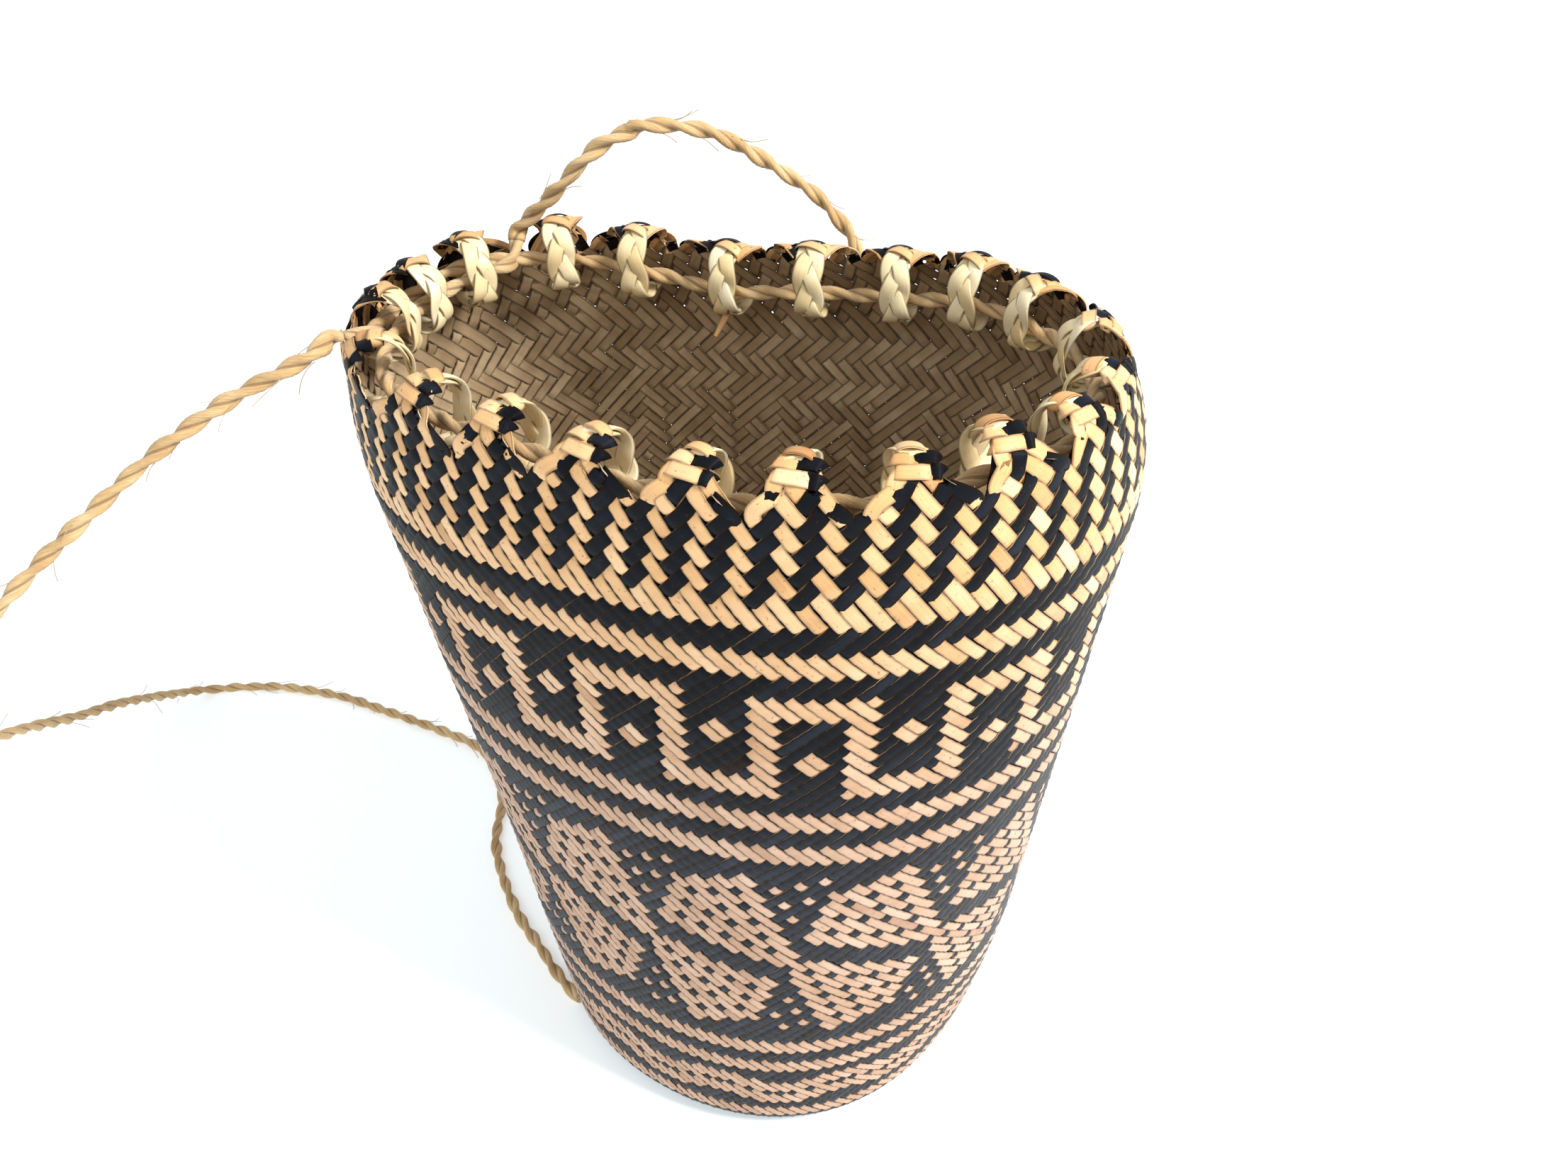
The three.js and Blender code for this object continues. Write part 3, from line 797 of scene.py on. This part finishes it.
def tooth_surface(index, columns, climb, lift):
    """Point and normal on a tooth, at columns from its middle and a climb above the rim."""
    reach, height, turn = curl_at(climb, TOOTH_RISES[index])
    lean = TOOTH_LEANS[index] * np.clip(climb / TOOTH_TAPER_RUN, 0, 1)
    point, _, inward = rim_frame(TOOTH_MIDDLES[index] + lean + columns)
    normal = UP * np.sin(turn)[..., None] - inward * np.cos(turn)[..., None]
    base = point + inward * (WALL_THICKNESS / 2 + reach)[..., None] + UP * height[..., None]
    return base + normal * lift[..., None], normal


COLUMN_PITCH = section_length(LEVELS - 1) / COLUMNS
NARROW = TOOTH_NECK_WIDTH / 2 / COLUMN_PITCH


def tooth_half(index, climb):
    """Half the tooth's width in columns: from its share of the rim to the neck."""
    wide = TOOTH_COLUMNS[index] / 2
    return wide + (NARROW - wide) * np.clip(climb / TOOTH_TAPER_RUN, 0, 1)


def neck_climb(index):
    """How far up the tooth its neck is."""
    rise = TOOTH_RISES[index]
    return np.maximum(rise, 0) + TOOTH_BEND * (NECK_TURN - start_turn(rise))


def at_back(index):
    """Whether a tooth is one of those at the back."""
    return math.sin(2 * math.pi * TOOTH_MIDDLES[index] / COLUMNS) > 0.25


def tooth_at(column):
    """Which tooth a column lies in."""
    return np.searchsorted(TOOTH_STARTS, FIRST_TOOTH_COLUMN + np.mod(column - FIRST_TOOTH_COLUMN, COLUMNS),
                           side="right") - 1


# The plaited wall, whose strips run on up the teeth
TOP_ROW = RIM_ROW - 5.6
SAMPLE_REACH = 0.36
# Shares of the lift between a strip's crossings, and added at the middle of a float and of a long one
TURN_LIFT = 0.62
FLOAT_LIFT = 0.3
LONG_FLOAT_LIFT = 0.15
# How uneven the strips are: sideways in columns, in height in millimetres, and in their lane's share
UNEVEN_PLACE = 0.018
WAVE = 0.02
UNEVEN_LIFT = 0.035
UNEVEN_STRIP = 0.02
UNEVEN_WIDTH = 0.008


def strip_samples(first_row, last_row):
    """Three samples to a crossing: at it, and a little over a third of a row before and after it."""
    rows = np.arange(math.ceil(first_row), math.floor(last_row) + 1)
    return (rows[:, None] + np.array([-SAMPLE_REACH, 0.0, SAMPLE_REACH])).reshape(-1)


def strip_lift(column_of_row, samples, tan):
    """Height of strips above the middle of the wall, from who is on top at the nearest crossing.

    A strip is up where it shows and down where it hides, and a long float rises a
    little more at its middle.
    """
    crossing = np.round(samples)

    def on_top(rows):
        column = column_of_row(rows)
        return tan_on_top(column, np.broadcast_to(rows, column.shape)) == tan

    shows, before, after = on_top(crossing), on_top(crossing - 1), on_top(crossing + 1)
    away = samples - crossing
    neighbour = np.where(away < -0.1, before, np.where(away > 0.1, after, shows))
    lift = np.where(neighbour == shows, 1.0, TURN_LIFT)
    lift = lift + np.where(np.abs(away) < 0.1, FLOAT_LIFT + LONG_FLOAT_LIFT * (before & after), 0.0)
    return STRIP_LIFT * np.where(shows, lift, -lift)


def wall_strips(name, numbers, tan):
    """Ribbons down the side: the tan ones' column grows by half per row and the black ones' falls.

    Above the rim they run on up the tooth that they are in, and end at its edge.
    """
    lean = 0.5 if tan else -0.5
    each = (len(numbers), 1)
    samples = strip_samples(TOP_ROW, FOOT_ROW)
    wander = RANDOM.normal(0, UNEVEN_PLACE, each) + WAVE * np.sin(samples / 9 + numbers[:, None] * 2.1)
    lift = strip_lift(lambda rows: numbers[:, None] + lean * rows, samples, tan)
    lift = lift + RANDOM.normal(0, UNEVEN_LIFT, lift.shape)
    column = numbers[:, None] + COLUMN_SHIFT + lean * samples + wander
    centre, normal = on_body(column, run_of_row(samples)[None] + 0 * column, lift)
    above = samples < RIM_ROW
    high = column[:, above]
    index = tooth_at(high)
    from_middle = np.mod(high - TOOTH_MIDDLES[index] + COLUMNS / 2, COLUMNS) - COLUMNS / 2
    climb = np.broadcast_to((RIM_ROW - samples[above]) * ROW_PITCH, high.shape)
    centre[:, above], normal[:, above] = tooth_surface(index, from_middle, climb, lift[:, above])
    keep = np.ones(lift.shape, bool)
    inside = (np.abs(from_middle) <= tooth_half(index, climb) - 0.1) & (climb < neck_climb(index) + 1.0)
    keep[:, above] = np.cumprod(inside[:, ::-1], 1)[:, ::-1].astype(bool)
    centre = np.where(keep[..., None], centre, centre[:, above.sum()][:, None])
    fill = STRIP_FILL + RANDOM.normal(0, UNEVEN_STRIP, each) + RANDOM.normal(0, UNEVEN_WIDTH, lift.shape)
    rings = ribbon_rings(centre, normal, lane_width(samples)[None] * fill / 2, STRIP_CROWN)
    length = np.broadcast_to((samples - samples[0]) * STRIP_PITCH * MM, lift.shape)
    tone = random_tone(0.5, 0.12, each)
    piece = make_mesh(name, rings, length, tone, keep, coloured_steps=int(above.sum()))
    finish_piece(piece, leaf_sides(tan), ["basket_wall"] + TOOTH_NODES)


TOOTH_NODES = ["rim_tooth_%02d" % (k + 1) for k in range(TOOTH_COUNT)]
LOOP_NODES = ["rim_loop_%02d" % (k + 1) for k in range(TOOTH_COUNT)]
for part in range(3):
    strips = np.arange(part * 40, part * 40 + 40).astype(float)
    wall_strips("wall_tan_strips_%d" % (part + 1), strips, True)
    wall_strips("wall_black_strips_%d" % (part + 1), strips, False)


def short_strip(path, half_width, length):
    """Rings, lengths and a tone for a short strip along a path's points and normals."""
    return ribbon_rings(*path, half_width, 0.2), length * MM, random_tone(0.5, 0.16)


# Each fold: its share of the way up to the neck, its length, how far it sticks out, and its side
TAN_FOLDS = ((0.25, 8.5, 0, -1), (0.62, 7.0, 0, -1), (0.86, 9.5, 3.4, -1), (0.8, 9.5, 3.6, 1))
BLACK_FOLDS = ((0.15, 6.0, 0, 1), (0.93, 7.5, 1.8, 1))
FOLD_SOFTNESS = 0.35
FOLD_INSET = 1.1
FOLD_HALF_WIDTH = 2.4


def edge_folds(tan):
    """Strips that turn back at a tooth's edges: a narrow bend from one bias to the other.

    From t = -1 to 1 a fold comes out to the edge and goes back in as a hyperbola, and
    rises evenly. It is up in the middle and goes under at its ends. On the back teeth
    the ones near the neck stick out past the edges.
    """
    t = np.linspace(-1, 1, 15)
    bend = (np.sqrt(t ** 2 + FOLD_SOFTNESS ** 2) - FOLD_SOFTNESS) / math.sqrt(2)
    tubes = []
    for index in range(TOOTH_COUNT):
        for share, reach, out, side in TAN_FOLDS if tan else BLACK_FOLDS:
            if out > 0 and not at_back(index):
                continue
            middle = share * neck_climb(index) + RANDOM.normal(0, 0.4)
            climb = np.maximum(middle + t * reach / math.sqrt(2), 0)
            away = bend * reach + FOLD_INSET - out
            columns = side * (tooth_half(index, climb) - away / COLUMN_PITCH)
            lift = 0.75 + RANDOM.normal(0, 0.08) - 1.2 * t ** 2
            path = tooth_surface(index, columns, climb, lift)
            tubes.append(short_strip(path, FOLD_HALF_WIDTH, (t + 1) * reach))
    return tubes


# Each patch: how many strips below the neck it lies, and how many halves of the tooth it crosses
TAN_PATCHES = ((0, 1.1), (1, 1.5))
BLACK_PATCHES = ((0, 1.1), (1, 0.75))
BAND_HALF_WIDTH = 2.3


def neck_patches(tan):
    """Two short strips across each neck: tan ones from the left edge and black ones from the right.

    Each dips behind the edge where it starts and under its neighbour where it ends.
    """
    share = np.linspace(0, 1, 13)
    side = -1.0 if tan else 1.0
    tubes = []
    for index in range(TOOTH_COUNT):
        for level, reach in TAN_PATCHES if tan else BLACK_PATCHES:
            around = side * (1 - share * reach)
            columns = (NARROW + 0.1) * np.sin(around * math.pi / 2)
            lift = 1.25 - 2.2 * np.abs(around) ** 5 * (share < 0.5) - 4.5 * np.clip(share - 0.7, 0, 1)
            climb = neck_climb(index) - 1.6 - STRIP_PITCH * level - 1.2 * around + RANDOM.normal(0, 0.3)
            tubes.append(short_strip(tooth_surface(index, columns, climb, lift), BAND_HALF_WIDTH, share * 9))
    return tubes


# Each hood, by tan or black and by back or front: its height above the neck, its slant and half its width
HOODS = {(True, True): (2.4, -1.8, 5.6), (True, False): (2.4, -1.2, 4.9), (False, True): (-1.6, 1.6, 5.6)}
HOOD_DEPTH = 2.4


def neck_hoods(tan):
    """One slanting band round each neck, where the braid starts: an ellipse across the tooth.

    It opens a little towards its start, so that its end goes under. The black ones
    are on the back teeth alone.
    """
    turn = np.linspace(-0.3, 2 * math.pi, 33) - math.pi / 2
    across, through = np.cos(turn), np.sin(turn)
    spread = np.linspace(0.25, 0, len(turn))
    tubes = []
    for index in range(TOOTH_COUNT):
        hood = HOODS.get((tan, at_back(index)))
        if not hood:
            continue
        level, slant, half = hood
        climb = neck_climb(index) + level + slant * across + RANDOM.normal(0, 0.35)
        columns = (half + RANDOM.normal(0, 0.2) + spread) * across / COLUMN_PITCH
        lift = (HOOD_DEPTH + spread) * through
        centre, outward = tooth_surface(index, columns, climb, lift)
        aside = unit(np.gradient(centre, axis=0))
        forward = unit(np.cross(rim_frame(TOOTH_MIDDLES[index])[1], outward))
        normal = unit(np.cross(aside, forward))
        normal = normal * np.sign(np.sum(normal * outward * through[:, None]))
        tubes.append(short_strip((centre, normal), BAND_HALF_WIDTH, np.linspace(0, 30, len(turn))))
    return tubes


for shapes, kind in ((edge_folds, "folds"), (neck_patches, "patches"), (neck_hoods, "hoods")):
    for tan, colour in ((True, "tan"), (False, "black")):
        teeth = join_tubes("teeth_%s_%s" % (colour, kind), shapes(tan))
        finish_piece(teeth, leaf_sides(tan), TOOTH_NODES)


# The braided eyelets: where they start on the bend, the braid's repeat, and its strands' sizes
EYELET_START = math.radians(84)
BRAID_LENGTH = 40.0
STRAND_SWING = 3.0
STRAND_LIFT = 0.85
STRAND_HALF_WIDTH = 3.1
STRAND_HALF_HEIGHT = 0.6


def eyelet_path(index):
    """Inward distance and height along an eyelet: over the top, straight down, and back to the wall."""
    rise = TOOTH_RISES[index]
    share = math.cos(start_turn(rise))
    backness = (1 + math.sin(2 * math.pi * EYELET_MIDDLES[index] / COLUMNS)) / 2
    drop = EYELET_DROP + (BACK_EYELET_DROP - EYELET_DROP) * backness
    over = np.linspace(EYELET_START, math.pi, 14)
    turn = np.linspace(0, math.pi / 2, 9)[1:]
    innermost = TOOTH_BEND * (1 + share)
    back = np.linspace(innermost - EYELET_TURN, WALL_THICKNESS, 8)[1:]
    pieces = ((TOOTH_BEND * (share - np.cos(over)), rise + TOOTH_BEND * np.sin(over)),
              (innermost, rise - np.linspace(0, drop, 8)[1:]),
              (innermost - EYELET_TURN * (1 - np.cos(turn)), rise - drop - EYELET_TURN * np.sin(turn)),
              (back, rise - drop - EYELET_TURN))
    line = np.concatenate([np.stack(np.broadcast_arrays(*piece), -1) for piece in pieces])
    return even_steps(line, 56)


def make_eyelets(name):
    """Three flat strands a loop, which swing across as a sine and lift as a sine of twice the turn."""
    tubes = []
    for index in range(TOOTH_COUNT):
        line, at = eyelet_path(index)
        point, along, inward = rim_frame(EYELET_MIDDLES[index])
        base = point + inward * (WALL_THICKNESS / 2 + line[:, :1]) + UP * (line[:, 1:] + SEAM)
        direction = unit(np.gradient(line, axis=0))
        outward = UP * direction[:, :1] - inward * direction[:, 1:]
        gather = np.clip(0.5 + at / 12.0, 0.5, 1)
        for strand in range(3):
            phase = 2 * math.pi * (at / BRAID_LENGTH + strand / 3 + index * 0.17)
            swing = STRAND_SWING * np.sin(phase) * gather
            centre = base + along * swing[:, None] + outward * (STRAND_LIFT * np.sin(2 * phase))[:, None]
            rings = round_rings(centre, outward, STRAND_HALF_WIDTH, STRAND_HALF_HEIGHT, 8)
            tubes.append((rings, at * MM, random_tone(0.55, 0.15, least=0.1)))
    finish_piece(join_tubes(name, tubes, leaf=False), [BRAID_STRAW], LOOP_NODES)


make_eyelets("braided_eyelets")


def loose_tail(name, index):
    """The free end of a strip under one eyelet: a flat ribbon that narrows and hangs to one side."""
    line, _ = eyelet_path(index)
    point, along, inward = rim_frame(EYELET_MIDDLES[index])
    low = line[np.argmin(line[:, 1])]
    share = np.linspace(0, 1, 12)[:, None]
    start = point + inward * (WALL_THICKNESS / 2 + low[0] + 2.5) + UP * (low[1] + 1.5)
    centre = start + along * 6.0 * share - UP * 11.0 * share + inward * 1.5 * share ** 2
    normal = unit(inward + 0.5 * UP + 0 * centre)
    rings = ribbon_rings(centre, normal, np.linspace(1.7, 0.8, len(share)), 0.1)
    piece = join_tubes(name, [(rings, share[:, 0] * 12.5 * MM, 0.5)])
    finish_piece(piece, leaf_sides(True), [LOOP_NODES[index]])


loose_tail("eyelet_tail", 10)


# The floor: straight strips both ways in a twill, cut to the foot's outline
FLOOR_TURN = math.radians(20)
FLOOR_MIDDLE = 1.75
FLOOR_LIFT = 0.4
FLOOR_REACH = 3.0


def floor_strips(name, lengthwise):
    """Flat ribbons across the foot: over two and under two, one step on in each next strip."""
    lines = np.arange(-24, 25)[:, None]
    samples = strip_samples(-28, 28)
    ahead = np.mod(np.round(samples).astype(int) - lines, 4) < 2
    side = np.where(ahead == lengthwise, 1.0, -1.0)
    own, far = np.broadcast_arrays(lines * STRIP_PITCH, samples * STRIP_PITCH)
    x, y = (far, own) if lengthwise else (own, far)
    px = x * math.cos(FLOOR_TURN) - y * math.sin(FLOOR_TURN)
    py = x * math.sin(FLOOR_TURN) + y * math.cos(FLOOR_TURN)
    angle = np.arctan2(py, px)
    border = body_point(angle, np.zeros_like(angle), FOOT_EDGE_RADIUS - FLOOR_REACH)[..., :2] - FOOT_SHIFT
    keep = np.hypot(px, py) < np.linalg.norm(border, axis=-1)
    centre = np.stack([px + FOOT_SHIFT[0], py + FOOT_SHIFT[1], FLOOR_MIDDLE + side * FLOOR_LIFT], -1)
    rings = ribbon_rings(centre, np.broadcast_to(UP, centre.shape), STRIP_PITCH * 0.47, 0.1)
    tone = random_tone(0.5, 0.16, lines.shape)
    piece = make_mesh(name, rings, np.broadcast_to(samples * STRIP_PITCH * MM, keep.shape), tone, keep)
    finish_piece(piece, [INNER_LEAF, TAN_LEAF], ["basket_floor"])


floor_strips("floor_strips_long", True)
floor_strips("floor_strips_cross", False)


# Floor of the studio, light and world
def make_studio():
    """A pale floor that keeps the shadow, two soft lamps and an even sky."""
    mesh = bpy.data.meshes.new("studio_floor")
    side = 8.0
    corners = [(side * x, side * y, 0) for x, y in ((-1, -1), (1, -1), (1, 1), (-1, 1))]
    mesh.from_pydata(corners, [], [(0, 1, 2, 3)])
    floor = add_object("studio_floor", mesh)
    material = bpy.data.materials.new("pale_studio_paper")
    material.use_nodes = True
    shader = material.node_tree.nodes["Principled BSDF"]
    for key, value in (("Base Color", linear("F4F8F8")), ("Roughness", 0.9),
                       ("Emission Color", linear("F4FAFA")), ("Emission Strength", 0.35)):
        shader.inputs[key].default_value = value
    mesh.materials.append(material)

    world = bpy.data.worlds.new("even_sky")
    bpy.context.scene.world = world
    world.use_nodes = True
    tree = world.node_tree
    tree.nodes.clear()
    ray = add_node(tree, "LightPath").outputs["Is Camera Ray"]
    sky = add_node(tree, "Background", {"Color": linear("EEF4FA"), "Strength": 0.82})
    white = add_node(tree, "Background", {"Color": linear("F6FCFC"), "Strength": 1.0})
    mixed = add_node(tree, "MixShader", {0: ray, 1: sky.outputs[0], 2: white.outputs[0]})
    add_node(tree, "OutputWorld", {"Surface": mixed.outputs[0]})

    for name, position, target, size, power in (
            ("front_window", (-0.5, -1.6, 1.5), (0, 0, 0.2), 0.8, 7),
            ("right_window", (1.15, -0.55, 1.35), (-0.1, 0, 0.3), 0.5, 41)):
        data = bpy.data.lights.new(name, "AREA")
        data.size = size
        data.energy = power
        lamp = add_object(name, data)
        backward = unit(np.subtract(position, target))
        right = unit(np.cross(UP, backward))
        set_in_place(lamp, right, np.cross(backward, right), backward, position)


make_studio()
bpy.context.scene.view_settings.view_transform = "Standard"
